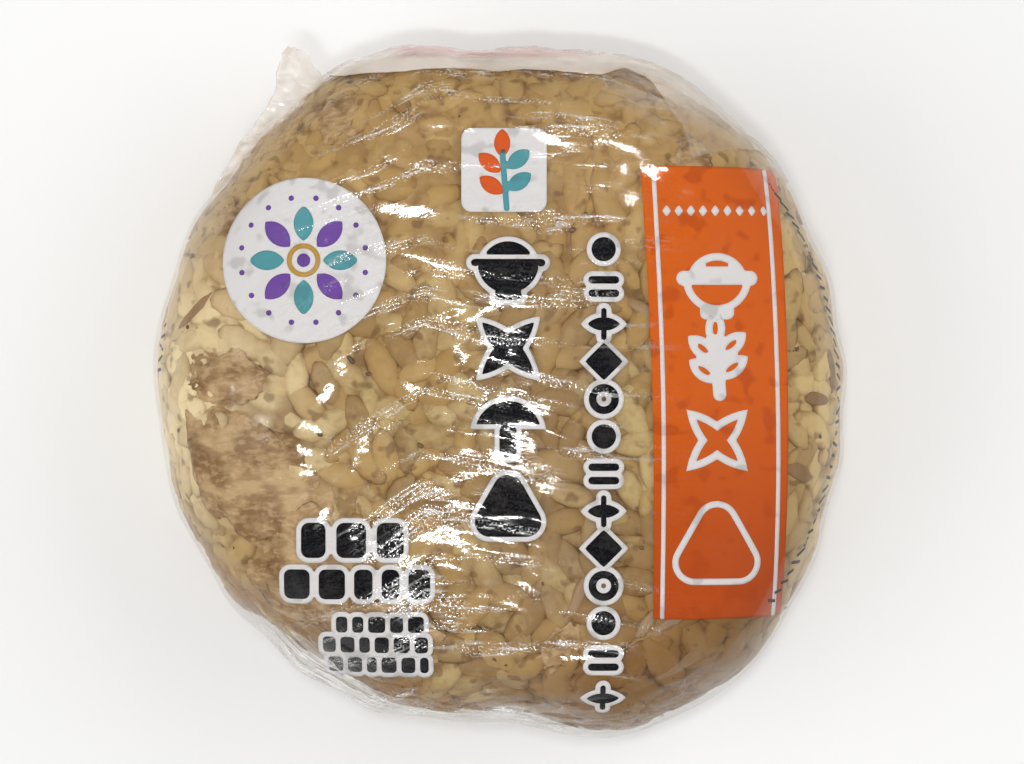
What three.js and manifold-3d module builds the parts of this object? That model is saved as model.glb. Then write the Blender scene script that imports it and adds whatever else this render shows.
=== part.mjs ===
// A round rice ball of seasoned rice, sealed in clear film and lying on its back with the shown face up.
// The film is drawn so tight that the grains stand out through it, so pack and contents are one solid.
// Millimetres, +Z up. The origin is under the middle of the pack, on the surface that it lies on.
// +X is the right of the shown face and +Y is its top.

import * as THREE from "three";
import { mergeVertices } from "three/addons/utils/BufferGeometryUtils.js";
import Module from "manifold-3d";

const wasm = await Module();
wasm.setup();

// Driving sizes of the pack.
const packHeight = 35; // from the underside to the crown of the face
const faceShare = 0.74; // flat part of the face, as a share of the outline's radius
const baseShare = 0.66; // flat part of the underside, as a share of the outline's radius
const upperShoulder = 14; // height of the rounding under the face
const lowerShoulder = 15; // height of the rounding above the underside
const faceCrown = 0.9; // how far the middle of the face stands above its rim
const faceSwell = 0.35; // height of the low swells across the face
const gatherDepth = 0.3; // depth of the film's upright gathers round the side
const baseTrim = 0.3; // how much is cut level at the underside

// Radius of the outline seen from above, at equal steps anticlockwise from +X.
const outlineRadii = [
  39.8, 40.2, 41.2, 41.2, 39.0, 41.4, 40.0, 39.8, 39.2, 38.8, 38.8, 38.9, 37.8, 42.0, 42.4, 40.4,
];

// Cooked short grains, packed side by side and pressed against the film.
const grainLength = 7.2;
const grainWidth = 4.0;
const grainDepth = 3.2;
const grainSpread = 0.18; // how much one grain's size differs from the next, as a share
const grainSplits = 7; // cuts in each edge of the icosahedron that spreads the grains
const grainShift = 0.03; // how far a grain strays from its even place, as an angle in radians
const ridgeRise = 0.32; // top of a packed grain above the skin
const ridgeShare = 0.5; // length of its flat top, as a share of the grain's length
const valleyDrop = 0.38; // joint between packed grains, under the skin
const proudPitch = 15; // distance between the grains that stand proud of the rest
const proudSink = 0.35; // depth of such a grain's centre under the skin
const grainSeed = 14; // picks one layout of the grains

// Loose film: an ear at the upper left, a lap over the top edge and a tuck at the upper right.
const earTip = new THREE.Vector2(-24.0, 39.4);
const earThickness = 1.0;
const earHeight = 21; // where the ear leaves the side
const earLift = 4; // how much higher its tip is
const lapThickness = 0.7;
const lapLeft = -18;
const lapRight = 14;
const lapFront = 36.4; // straight cut edge of the lap on the face
const tuckThickness = 0.6;

const aroundSteps = 48;
const shoulderSteps = 6;

// A seeded random draw between 0 and 1, so that each build gives the same grains.
function seededDraw(seed) {
  let state = seed;
  return () => {
    state = (state * 1664525 + 1013904223) % 4294967296;
    return state / 4294967296;
  };
}

// Radius of the outline in one direction, smooth through the listed radii.
function outlineRadius(angle) {
  const count = outlineRadii.length;
  const turns = angle / (2 * Math.PI);
  const place = (turns - Math.floor(turns)) * count;
  const first = Math.floor(place);
  const share = place - first;
  const [before, low, high, after] = [-1, 0, 1, 2].map((k) => outlineRadii[(first + k + count) % count]);
  const squared = share * share;
  const cubed = squared * share;
  return (
    (2 * cubed - 3 * squared + 1) * low +
    ((cubed - 2 * squared + share) * (high - before)) / 2 +
    (3 * squared - 2 * cubed) * high +
    ((cubed - squared) * (after - low)) / 2
  );
}

// Half section of the pack, as shares of the radius against heights, from under the middle to the crown.
function sectionPoints() {
  const rim = packHeight - faceCrown;
  const turns = Array.from({ length: shoulderSteps + 1 }, (_, i) => ((i / shoulderSteps) * Math.PI) / 2);
  const lower = turns.map((turn) => [
    baseShare + (1 - baseShare) * Math.sin(turn) ** 0.9,
    lowerShoulder * (1 - Math.cos(turn)),
  ]);
  const upper = turns.map((turn) => [
    faceShare + (1 - faceShare) * Math.cos(turn) ** 0.9,
    rim - upperShoulder * (1 - Math.sin(turn)),
  ]);
  const crown = [0.66, 0.33, 0].map((part) => [faceShare * part, packHeight - faceCrown * part ** 2]);
  return [[0, 0], [baseShare * 0.55, 0], ...lower, ...upper, ...crown].map(([x, y]) => new THREE.Vector2(x, y));
}

const section = sectionPoints();

// A point of the pack's skin, from a share of the radius, a height and a direction, moved out by grow.
function skinPoint({ share, height, angle }, grow = 0) {
  const side = Math.sin((Math.PI * height) / packHeight) ** 2;
  const gather = gatherDepth * side * Math.sin(19 * angle + 2 * Math.sin(3 * angle));
  const radius = share * (outlineRadius(angle) + grow) + share ** 4 * gather;
  const x = radius * Math.cos(angle);
  const y = radius * Math.sin(angle);
  const onFace = THREE.MathUtils.smoothstep(height, packHeight - upperShoulder, packHeight);
  const swell = faceSwell * onFace * (Math.sin(x / 8 + 1) * Math.cos(y / 10) + 0.5 * Math.sin(y / 5 + x / 11));
  return new THREE.Vector3(x, y, height + swell + grow * onFace - baseTrim);
}

// The section as belts with the area that each sweeps, so that places can be spread evenly over the skin.
const meanRadius = outlineRadii.reduce((sum, radius) => sum + radius, 0) / outlineRadii.length;
const belts = section.slice(1).map((end, i) => {
  const start = section[i];
  const slant = Math.hypot((end.x - start.x) * meanRadius, end.y - start.y);
  return { start, end, area: Math.PI * (start.x + end.x) * meanRadius * slant };
});
const skinArea = belts.reduce((sum, belt) => sum + belt.area, 0);

// The place on the skin under a share of its area, counted from under the middle, and a direction.
function placeOf(areaShare, angle) {
  let left = Math.min(Math.max(areaShare, 0), 1) * skinArea;
  const belt = belts.find((one) => (left -= one.area) <= 0) ?? belts.at(-1);
  const back = Math.min(1, -left / belt.area);
  const radius = Math.sqrt(THREE.MathUtils.lerp(belt.end.x ** 2, belt.start.x ** 2, back));
  const part = (back * (belt.end.x + belt.start.x)) / (belt.end.x + radius) || 0;
  const at = belt.end.clone().lerp(belt.start, part);
  const tangent = belt.end.clone().sub(belt.start);
  return { share: at.x, height: at.y, angle, along: new THREE.Vector2(tangent.x * meanRadius, tangent.y).normalize() };
}

// Outward normal and two tangents of the skin at a place.
function skinFrame({ angle, along }) {
  const out = new THREE.Vector3(Math.cos(angle), Math.sin(angle), 0);
  const up = new THREE.Vector3(0, 0, 1);
  const round = new THREE.Vector3(-Math.sin(angle), Math.cos(angle), 0);
  const rising = out.clone().multiplyScalar(along.x).addScaledVector(up, along.y);
  const normal = out.clone().multiplyScalar(along.y).addScaledVector(up, -along.x);
  return { normal, round, rising };
}

// How strongly the grains stand out: fully on the side and face, and not where the pack lies flat.
function reliefShare(height) {
  return THREE.MathUtils.smoothstep(height, 0.3, 3);
}

// A closed manifold-3d solid from a three.js geometry.
function solidOf(geometry) {
  const bare = new THREE.BufferGeometry();
  bare.setAttribute("position", geometry.getAttribute("position"));
  bare.setIndex(geometry.index);
  const merged = mergeVertices(bare, 1e-4);
  const kept = [];
  for (let i = 0; i < merged.index.count; i += 3) {
    const [a, b, c] = [0, 1, 2].map((k) => merged.index.getX(i + k));
    if (a !== b && b !== c && c !== a) kept.push(a, b, c);
  }
  return new wasm.Manifold(
    new wasm.Mesh({
      numProp: 3,
      vertProperties: Float32Array.from(merged.getAttribute("position").array),
      triVerts: Uint32Array.from(kept),
    }),
  );
}

// The pack without its grains: a round lathe stretched to the outline.
function smoothPack(grow) {
  const lathe = new THREE.LatheGeometry(section, aroundSteps);
  const places = lathe.getAttribute("position");
  for (let i = 0; i < places.count; i++) {
    const share = Math.hypot(places.getX(i), places.getZ(i));
    const angle = Math.atan2(places.getX(i), places.getZ(i));
    const skin = skinPoint({ share, height: places.getY(i), angle }, grow);
    places.setXYZ(i, skin.x, skin.y, skin.z);
  }
  return solidOf(lathe);
}

// Even directions over a sphere, each moved a little by the draw, and the triangles between them.
function scatteredDirections(draw) {
  const ball = new THREE.IcosahedronGeometry(1, grainSplits);
  ball.deleteAttribute("normal");
  ball.deleteAttribute("uv");
  const merged = mergeVertices(ball, 1e-4);
  const stray = () => grainShift * (2 * draw() - 1);
  const directions = Array.from({ length: merged.getAttribute("position").count }, (_, i) =>
    new THREE.Vector3()
      .fromBufferAttribute(merged.getAttribute("position"), i)
      .add(new THREE.Vector3(stray(), stray(), stray()))
      .normalize(),
  );
  const index = merged.index.array;
  const triangles = Array.from({ length: index.length / 3 }, (_, i) => [0, 1, 2].map((k) => index[3 * i + k]));
  return { directions, triangles };
}

// The place on the skin for a direction from the middle of a sphere of the same area.
function placeUnder(direction) {
  return placeOf((1 + direction.z) / 2, Math.atan2(direction.y, direction.x));
}

// The packed grains: each direction is a grain with a short ridge, and the joints run between its neighbours.
function grainPack(draw) {
  const { directions, triangles } = scatteredDirections(draw);
  const points = [];
  const faces = [];
  const joints = triangles.map((corners) => {
    const middle = new THREE.Vector3();
    corners.forEach((corner) => middle.add(directions[corner]));
    const place = placeUnder(middle.normalize());
    const drop = valleyDrop * (0.7 + 0.6 * draw()) * reliefShare(place.height);
    points.push(skinPoint(place).addScaledVector(skinFrame(place).normal, -drop));
    return { middle, point: points.length - 1 };
  });
  const rings = directions.map(() => []);
  triangles.forEach((corners, i) => corners.forEach((corner) => rings[corner].push(joints[i])));

  directions.forEach((direction, grain) => {
    const side = new THREE.Vector3(0, 0, 1).cross(direction);
    if (side.length() < 1e-6) side.set(1, 0, 0);
    side.normalize();
    const front = direction.clone().cross(side);
    const turnOf = ({ middle }) => Math.atan2(middle.dot(front), middle.dot(side));
    const ring = rings[grain].sort((a, b) => turnOf(a) - turnOf(b)).map(({ point }) => point);

    const place = placeUnder(direction);
    const { normal, round, rising } = skinFrame(place);
    const turn = draw() * Math.PI;
    const ridge = round.multiplyScalar(Math.cos(turn)).addScaledVector(rising, Math.sin(turn));
    const half = (grainLength * ridgeShare * (1 + grainSpread * (2 * draw() - 1))) / 2;
    const rise = ridgeRise * (0.6 + 0.8 * draw()) * reliefShare(place.height);
    const top = skinPoint(place).addScaledVector(normal, rise);
    const ends = [points.length, points.length + 1];
    points.push(top.clone().addScaledVector(ridge, half), top.clone().addScaledVector(ridge, -half));

    const endOf = ring.map((point, i) => {
      const between = points[point].clone().add(points[ring[(i + 1) % ring.length]]).multiplyScalar(0.5);
      return between.sub(top).dot(ridge) > 0 ? ends[0] : ends[1];
    });
    ring.forEach((point, i) => {
      const previous = endOf[(i + ring.length - 1) % ring.length];
      faces.push([point, ring[(i + 1) % ring.length], endOf[i]]);
      if (previous !== endOf[i]) faces.push([point, endOf[i], previous]);
    });
  });
  const geometry = new THREE.BufferGeometry().setFromPoints(points);
  geometry.setIndex(faces.flat());
  return solidOf(geometry);
}

// One proud grain: a plump spindle lying on the skin, turned and sized by the draw.
function proudGrain(place, draw) {
  const size = 1 + grainSpread * (2 * draw() - 1);
  const grain = new THREE.SphereGeometry(0.5, 6, 4);
  grain.scale(grainWidth * size, grainLength * size, grainDepth * size);
  grain.rotateZ(draw() * Math.PI);
  const { normal } = skinFrame(place);
  const centre = skinPoint(place).addScaledVector(normal, -proudSink);
  grain.applyQuaternion(new THREE.Quaternion().setFromUnitVectors(new THREE.Vector3(0, 0, 1), normal));
  grain.translate(centre.x, centre.y, centre.z);
  return solidOf(grain);
}

function proudGrains(draw) {
  const count = Math.round(skinArea / (proudPitch * proudPitch * Math.sqrt(0.75)));
  const golden = Math.PI * (3 - Math.sqrt(5));
  return Array.from({ length: count }, (_, i) => placeOf((i + 0.5) / count, i * golden))
    .filter(({ height }) => reliefShare(height) === 1)
    .map((place) => proudGrain(place, draw));
}

// The ear: a thin pleat of spare film that runs up the upper left side and ends in a point.
function earSolid() {
  const ear = new THREE.Shape();
  ear.moveTo(-37.0, 13.0);
  ear.lineTo(-33.6, 21.6);
  ear.lineTo(-27.8, 30.4);
  ear.quadraticCurveTo(-26.4, 35.5, earTip.x - 0.6, earTip.y);
  ear.lineTo(earTip.x + 0.9, earTip.y - 0.7);
  ear.quadraticCurveTo(-20.5, 36.6, -16.8, 35.2);
  ear.lineTo(-16.0, 30.0);
  ear.lineTo(-30.0, 14.0);
  const film = new THREE.ExtrudeGeometry(ear, { depth: earThickness, bevelEnabled: false, curveSegments: 5 });
  const places = film.getAttribute("position");
  for (let i = 0; i < places.count; i++) {
    const [x, y, z] = [places.getX(i), places.getY(i), places.getZ(i)];
    const out = THREE.MathUtils.smoothstep(Math.hypot(x, y), 36, earTip.length());
    places.setZ(i, earHeight + earLift * out + 0.9 * Math.sin(y / 2.6) * out + z);
  }
  return solidOf(film);
}

// A raised second layer of film: the part of a slightly grown pack that lies inside an upright prism.
function layerSolid(thickness, corners, bottom) {
  const outline = new THREE.Shape(corners.map(([x, y]) => new THREE.Vector2(x, y)));
  const prism = new THREE.ExtrudeGeometry(outline, { depth: 2 * packHeight, bevelEnabled: false });
  prism.translate(0, 0, bottom);
  return smoothPack(thickness).intersect(solidOf(prism));
}

function lapSolid() {
  const past = 60;
  const corners = [[lapLeft, lapFront], [lapRight, lapFront], [lapRight + 2, past], [lapLeft - 2, past]];
  return layerSolid(lapThickness, corners, 4);
}

function tuckSolid() {
  const corners = [[11.5, 37.6], [17.5, 36.8], [25.5, 28.2], [40, 34], [20, 55]];
  return layerSolid(tuckThickness, corners, 6);
}

// Everything fused, cut level with the surface it lies on, without sealed hollows or scraps.
function wrappedRiceBall() {
  const draw = seededDraw(grainSeed);
  const parts = [grainPack(draw), ...proudGrains(draw), earSolid(), lapSolid(), tuckSolid()];
  const room = new THREE.BoxGeometry(200, 200, 100);
  room.translate(0, 0, 50);
  const pieces = wasm.Manifold.union(parts).intersect(solidOf(room)).decompose();
  const whole = pieces.reduce((best, piece) => (piece.volume() > best.volume() ? piece : best));
  const made = whole.getMesh();
  const geometry = new THREE.BufferGeometry();
  geometry.setAttribute("position", new THREE.BufferAttribute(Float32Array.from(made.vertProperties), 3));
  geometry.setIndex(new THREE.BufferAttribute(Uint32Array.from(made.triVerts), 1));
  geometry.computeVertexNormals();
  return geometry;
}

const riceInFilm = new THREE.MeshStandardMaterial({ color: 0xb3946a, roughness: 0.35, metalness: 0 });

const group = new THREE.Group();
const pack = new THREE.Mesh(wrappedRiceBall(), riceInFilm);
pack.name = "wrapped_rice_ball";
group.add(pack);

export default group;
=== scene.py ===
import bisect
import math
import random

import bmesh
import bpy
from mathutils import Matrix, Vector, noise
from mathutils.bvhtree import BVHTree


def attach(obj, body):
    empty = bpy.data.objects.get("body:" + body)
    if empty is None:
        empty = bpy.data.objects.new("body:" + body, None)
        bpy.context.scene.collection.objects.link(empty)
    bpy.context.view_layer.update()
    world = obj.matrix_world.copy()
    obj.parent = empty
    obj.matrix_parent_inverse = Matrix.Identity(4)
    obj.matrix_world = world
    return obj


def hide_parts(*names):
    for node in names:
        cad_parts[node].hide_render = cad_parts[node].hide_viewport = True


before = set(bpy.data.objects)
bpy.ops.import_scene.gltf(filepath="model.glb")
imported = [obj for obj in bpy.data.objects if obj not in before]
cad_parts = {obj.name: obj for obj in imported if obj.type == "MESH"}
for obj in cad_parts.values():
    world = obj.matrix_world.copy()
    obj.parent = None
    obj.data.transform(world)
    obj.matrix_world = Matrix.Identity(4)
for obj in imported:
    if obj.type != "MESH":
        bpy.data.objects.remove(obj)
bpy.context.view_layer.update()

# A round rice ball of seasoned rice in tight clear film, lying on its back with the shown face up.
# +X is the right of the shown face and +Y its top. Sizes are metres, written in millimetres.
mm = 0.001
packNode = "wrapped_rice_ball"
goldenTurn = math.pi * (3 - math.sqrt(5))
noise.seed_set(1)  # the noise that bends cells and crumples is the same in every run


# Small helpers for numbers and meshes

def smoothStep(value, low, high):
    share = min(max((value - low) / (high - low), 0.0), 1.0)
    return share * share * (3 - 2 * share)


def lerp(low, high, share):
    return low + (high - low) * share


def roundedMin(value, limit, soft):  # the smaller of two numbers, with a rounded corner
    share = min(max(0.5 + 0.5 * (limit - value) / soft, 0.0), 1.0)
    return lerp(limit, value, share) - soft * share * (1 - share)


def alongPoints(points, place):  # the value at a place between listed (place, value) pairs
    for (a, low), (b, high) in zip(points, points[1:]):
        if place <= b:
            return lerp(low, high, min(max((place - a) / (b - a), 0.0), 1.0))
    return points[-1][1]


def cornersOf(bm):
    return [[vert.index for vert in face.verts] for face in bm.faces]


def smoothMesh(bm, name):
    for face in bm.faces:
        face.smooth = True
    mesh = bpy.data.meshes.new(name)
    bm.to_mesh(mesh)
    bm.free()
    return mesh


def addPiece(name, mesh, material, slot):
    piece = bpy.data.objects.new(name, mesh)
    bpy.context.scene.collection.objects.link(piece)
    mesh.materials.append(material)
    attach(piece, "root")
    return piece


def addThickness(piece, thickness):  # a sheet gets a back, so that it is closed
    solid = piece.modifiers.new("thickness", "SOLIDIFY")
    solid.thickness = thickness
    solid.offset = -1.0


# Shader maths, written as Python sums

class Socket:
    def __init__(self, paint, plug):
        self.paint = paint
        self.plug = plug

    def maths(self, operation, *others, **settings):
        values = dict(enumerate((self,) + others))
        return self.paint.node("ShaderNodeMath", {"operation": operation, **settings}, values)[0]

    def __add__(self, other):
        return self.maths("ADD", other)

    def __sub__(self, other):
        return self.maths("SUBTRACT", other)

    def __mul__(self, other):
        return self.maths("MULTIPLY", other)

    def __truediv__(self, other):
        return self.maths("DIVIDE", other)

    def __rsub__(self, other):
        return self.maths("MULTIPLY_ADD", -1.0, other)

    __radd__ = __add__
    __rmul__ = __mul__

    def limited(self):  # kept between 0 and 1
        return self.maths("ADD", 0.0, use_clamp=True)

    def smaller(self, other):
        return self.maths("MINIMUM", other)

    def size(self):
        return self.maths("ABSOLUTE")

    def root(self):
        return self.maths("SQRT")

    def ramp(self, low, high):  # 0 below low, 1 above high, smooth between
        values = {"Value": self, "From Min": low, "From Max": high}
        return self.paint.node("ShaderNodeMapRange", {"interpolation_type": "SMOOTHSTEP"}, values)[0]


class Paint:
    def __init__(self, name):
        self.material = bpy.data.materials.new(name)
        self.material.use_nodes = True
        self.tree = self.material.node_tree
        self.tree.nodes.clear()
        self.place = self.node("ShaderNodeTexCoord")["Object"]

    def node(self, kind, settings=None, values=None):  # makes a node and gives its outputs
        made = self.tree.nodes.new(kind)
        for key, value in (settings or {}).items():
            setattr(made, key, value)
        for key, value in (values or {}).items():
            plugs = [plug for plug in made.inputs if plug.enabled]
            plug = plugs[key] if isinstance(key, int) else next(one for one in plugs if one.name == key)
            if isinstance(value, Socket):
                self.tree.links.new(value.plug, plug)
            else:
                plug.default_value = value
        return Outputs(self, made)

    def noise(self, size, detail, vector=None):  # about 0.5, over spots of that size
        values = {"Vector": vector or self.place, "Scale": 1 / size, "Detail": detail}
        return self.node("ShaderNodeTexNoise", {}, values)[0]

    def joined(self, x, y, z):
        return self.node("ShaderNodeCombineXYZ", {}, {"X": x, "Y": y, "Z": z})[0]

    def stretched(self, x, y, z, turn=0.0):  # the place, squeezed along each axis
        values = {"Vector": self.place, "Scale": (x, y, z), "Rotation": (0.0, 0.0, turn)}
        return self.node("ShaderNodeMapping", {}, values)["Vector"]

    def mix(self, share, first, second):  # between two colours
        values = {"Factor": share, "A": colour(first), "B": colour(second)}
        return self.node("ShaderNodeMix", {"data_type": "RGBA"}, values)["Result"]

    def bump(self, height, distance, strength):
        values = {"Height": height, "Distance": distance, "Strength": strength}
        return self.node("ShaderNodeBump", {}, values)["Normal"]

    def attribute(self, name):
        return self.node("ShaderNodeAttribute", {"attribute_name": name})["Fac"]

    def axes(self):
        parts = self.node("ShaderNodeSeparateXYZ", {}, {"Vector": self.place})
        return parts["X"], parts["Y"], parts["Z"]

    def surface(self, values):
        return self.node("ShaderNodeBsdfPrincipled", {}, values)["BSDF"]

    def finish(self, shader):
        self.node("ShaderNodeOutputMaterial", {}, {"Surface": shader})
        return self.material


class Outputs:
    def __init__(self, paint, made):
        self.paint = paint
        self.plugs = [plug for plug in made.outputs if plug.enabled]

    def __getitem__(self, key):
        found = self.plugs[key] if isinstance(key, int) else next(p for p in self.plugs if p.name == key)
        return Socket(self.paint, found)


def colour(value):
    return value if isinstance(value, Socket) or len(value) == 4 else (*value, 1.0)


# Shape of the pack

packShape = {
    "height": 34.7 * mm,         # underside to the crown of the face
    "faceShare": 0.74,           # flat part of the face, as a share of the radius
    "baseShare": 0.66,           # flat part of the underside
    "upperShoulder": 14 * mm,    # height of the rounding under the face
    "lowerShoulder": 15 * mm,
    "faceCrown": 0.9 * mm,
    "faceSwell": 0.35 * mm,      # low swells across the face
    "gatherDepth": 0.3 * mm,     # upright gathers of the film round the side
    # radius seen from above, at equal steps anticlockwise from +X
    "radii": [r * mm for r in (39.8, 40.2, 41.2, 41.2, 39.0, 41.4, 40.0, 39.8,
                               39.2, 38.8, 38.8, 38.9, 37.8, 42.0, 42.4, 40.4)],
    "sectionSteps": 20, "crownSteps": 8,  # points on each rounding and on the face
    "gathers": 19,
    "swells": (8 * mm, 10 * mm, 5 * mm, 11 * mm),  # lengths of the face's swells
    "lowest": 0.04 * mm,         # film over the surface it lies on
}


def outlineRadius(angle):
    radii = packShape["radii"]
    count = len(radii)
    place = (angle / (2 * math.pi)) % 1.0 * count
    first = int(place)
    t = place - first
    before, low, high, after = [radii[(first + k) % count] for k in (-1, 0, 1, 2)]
    return ((2 * t**3 - 3 * t**2 + 1) * low + (t**3 - 2 * t**2 + t) * (high - before) / 2
            + (3 * t**2 - 2 * t**3) * high + (t**3 - t**2) * (after - low) / 2)


def sectionPoints():  # half section from under the middle to the crown: share of the radius, height
    steps = packShape["sectionSteps"]
    rim = packShape["height"] - packShape["faceCrown"]
    base, face = packShape["baseShare"], packShape["faceShare"]
    turns = [i / steps * math.pi / 2 for i in range(steps + 1)]
    points = [(0.0, 0.0), (base * 0.5, 0.0)]
    points += [(base + (1 - base) * math.sin(turn)**0.9,
                packShape["lowerShoulder"] * (1 - math.cos(turn))) for turn in turns]
    points += [(face + (1 - face) * max(math.cos(turn), 0.0)**0.9,
                rim - packShape["upperShoulder"] * (1 - math.sin(turn))) for turn in turns]
    crown = packShape["crownSteps"]
    points += [(face * k / crown, packShape["height"] - packShape["faceCrown"] * (k / crown)**2)
               for k in range(crown - 1, -1, -1)]
    return points


section = sectionPoints()
meanRadius = sum(packShape["radii"]) / len(packShape["radii"])
areaUpTo = [0.0]  # area swept by the section up to each of its points
for (r0, z0), (r1, z1) in zip(section, section[1:]):
    slant = math.hypot((r1 - r0) * meanRadius, z1 - z0)
    areaUpTo.append(areaUpTo[-1] + math.pi * (r0 + r1) * meanRadius * slant)
skinArea = areaUpTo[-1]


def sectionAt(areaShare):
    area = min(max(areaShare, 0.0), 1.0) * skinArea
    k = min(max(bisect.bisect_left(areaUpTo, area), 1), len(section) - 1)
    (r0, z0), (r1, z1) = section[k - 1], section[k]
    part = (area - areaUpTo[k - 1]) / (areaUpTo[k] - areaUpTo[k - 1])
    if abs(r1 - r0) > 1e-6:
        part = (math.sqrt(r0**2 + (r1**2 - r0**2) * part) - r0) / (r1 - r0)
    return lerp(r0, r1, part), lerp(z0, z1, part)


def skinPoint(share, height, angle, grow=0.0):
    top = packShape["height"]
    side = math.sin(math.pi * min(max(height / top, 0.0), 1.0))**2
    folds = packShape["gathers"] * angle + 2 * math.sin(3 * angle)
    gather = packShape["gatherDepth"] * side * math.sin(folds)
    radius = share * (outlineRadius(angle) + grow) + share**4 * gather
    x, y = radius * math.cos(angle), radius * math.sin(angle)
    onFace = smoothStep(height, top - packShape["upperShoulder"], top)
    onBase = 1 - smoothStep(height, 0.0, packShape["lowerShoulder"])
    alongX, alongY, finerY, acrossX = packShape["swells"]
    swell = math.sin(x / alongX + 1) * math.cos(y / alongY) + 0.5 * math.sin(y / finerY + x / acrossX)
    z = height + packShape["faceSwell"] * onFace * swell + grow * (onFace - onBase)
    return Vector((x, y, max(z, packShape["lowest"])))


def skinBall(fineness, grow, crowding=1.0):  # a ball whose even faces are laid over the skin
    bm = bmesh.new()
    bmesh.ops.create_icosphere(bm, subdivisions=fineness, radius=1.0)
    for vert in bm.verts:
        under = 1 - max((1 - vert.co.z) / 2, 0.0)**crowding
        angle = math.atan2(vert.co.y, vert.co.x)
        share, height = sectionAt(under)
        vert.co = skinPoint(share, height, angle, grow(share, angle))
    bm.normal_update()
    return bm


# Cooked rice: a core of mashed rice with single grains pressed against the film

riceValues = {
    "length": 7.4 * mm, "width": 3.1 * mm, "depth": 2.2 * mm,
    "spread": 0.18,               # how much one grain differs from the next
    "pitch": 3.0 * mm,            # distance between grains
    "sink": (0.65 * mm, 1.5 * mm),      # depth of a grain's middle
    "pressed": (0.08 * mm, 0.22 * mm),  # the film presses grains flat this far under the skin
    "pressSoft": 0.42 * mm,
    "tilt": 0.3,
    "kinds": 8,                   # different grain shapes
    "coreDepth": 0.5 * mm,
    # half-dissolved grains of the core
    "cellSize": 3.4 * mm, "cellWarp": 1.3 * mm, "cellRelief": 0.5 * mm,
    "warpSize": 4 * mm, "unevenSize": 11 * mm, "uneven": 0.6,
    "coreRelief": 0.12 * mm, "coreSpots": 1.1 * mm,
    # where the film stands off the rice: direction, half width (both degrees) and depth
    "standOff": [(238, 26, 2.2 * mm), (274, 22, 1.3 * mm), (62, 17, 0.9 * mm), (302, 12, 0.4 * mm)],
    "standOffFrom": (0.7, 0.97),  # share of the radius where it begins and is full
    "mashFrom": 4 * mm, "mashTo": 26 * mm,  # towards the top the grains sink into mashed rice
    "mashSpots": [(-25, -14, 13), (-14, -28, 8)],  # and round the chicken: x, y, radius
    "mashSink": 0.35 * mm,
    "chickenSink": 1.2 * mm,      # no grain lies over the chicken
}


def riceStandOff(share, angle):
    around = 0.0
    for middle, half, depth in riceValues["standOff"]:
        away = (math.degrees(angle) - middle + 180) % 360 - 180
        around += depth * (1 - smoothStep(abs(away), 0, half))
    return -around * smoothStep(share, *riceValues["standOffFrom"])


def riceSkin():
    bm = skinBall(6, riceStandOff)
    tree = BVHTree.FromBMesh(bm)
    bm.free()
    return tree


riceTree = riceSkin()


def pressUnder(point, limit, soft):  # a point pushed in by the film, and its depth under the rice's skin
    nearest, normal, _, _ = riceTree.find_nearest(point)
    out = (point - nearest).dot(normal)
    pressed = roundedMin(out, -limit, soft)
    moved = point + normal * (pressed - out)
    moved.z = max(moved.z, 2 * packShape["lowest"])
    return moved, -pressed / mm


def mashShare(place):
    share = smoothStep(place.y, riceValues["mashFrom"], riceValues["mashTo"])
    if place.z > packShape["height"] / 2:
        for x, y, radius in riceValues["mashSpots"]:
            away = math.hypot(place.x - x * mm, place.y - y * mm)
            share = max(share, 1 - smoothStep(away, 0.5 * radius * mm, 1.1 * radius * mm))
    return share


def mashCell(point):  # height between 0 and 1 and tone of the half-dissolved grain at a point
    bent = point + noise.noise_vector(point / riceValues["warpSize"]) * riceValues["cellWarp"]
    spots = riceValues["uneven"] * noise.noise(point / riceValues["unevenSize"])
    cell = Vector((bent.x * (1.25 + spots), bent.y * (1.25 - spots), bent.z)) / riceValues["cellSize"]
    (near, far, *_), (middle, *_) = noise.voronoi(cell)
    tone = min(max(0.5 + 1.1 * noise.noise(middle * 3.1), 0.0), 1.0)
    return smoothStep(far - near, 0.0, 0.55), tone


def riceCore():
    values = riceValues

    def grow(share, angle):
        return riceStandOff(share, angle) - values["coreDepth"]

    bm = skinBall(7, grow)
    depths = bm.verts.layers.float.new("depth")
    tones = bm.verts.layers.float.new("tone")
    for vert in bm.verts:
        height, vert[tones] = mashCell(vert.co)
        rise = values["coreRelief"] * noise.noise(vert.co / values["coreSpots"])
        rise += values["cellRelief"] * (height - 0.6) + 0.5 * values["coreDepth"] * mashShare(vert.co)
        rise = min(rise, values["coreDepth"])
        # depth under the skin, from which the material paints shade
        vert[depths] = (values["coreDepth"] - rise) / mm + 0.15 * (1 - height)
        vert.co += vert.normal * rise
        vert.co.z = max(vert.co.z, 2 * packShape["lowest"])
    return smoothMesh(bm, "rice_core")


def grainShape(draw):  # one grain of unit size: blunt at one end, a little bent, with the germ's notch
    bm = bmesh.new()
    bmesh.ops.create_uvsphere(bm, u_segments=10, v_segments=6, radius=0.5)
    bend, blunt, notch = draw.uniform(-0.12, 0.12), draw.uniform(0.0, 0.22), draw.uniform(0.05, 0.2)
    for vert in bm.verts:
        x, y, z = vert.co
        around = math.atan2(y, x)
        around += 0.4 * math.cos(around)  # more of its faces are on the side against the film
        x, y = math.hypot(x, y) * math.cos(around), math.hypot(x, y) * math.sin(around)
        fat = 1 + blunt * z + 0.12 * (1 - 4 * z * z)
        vert.co = Vector((x * fat + bend * (4 * z * z - 0.5), y * fat, z))
        vert.co.x -= notch * smoothStep(z, 0.22, 0.42) * smoothStep(x, 0.0, 0.3)
    shape = [vert.co.copy() for vert in bm.verts], cornersOf(bm)
    bm.free()
    return shape


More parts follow.
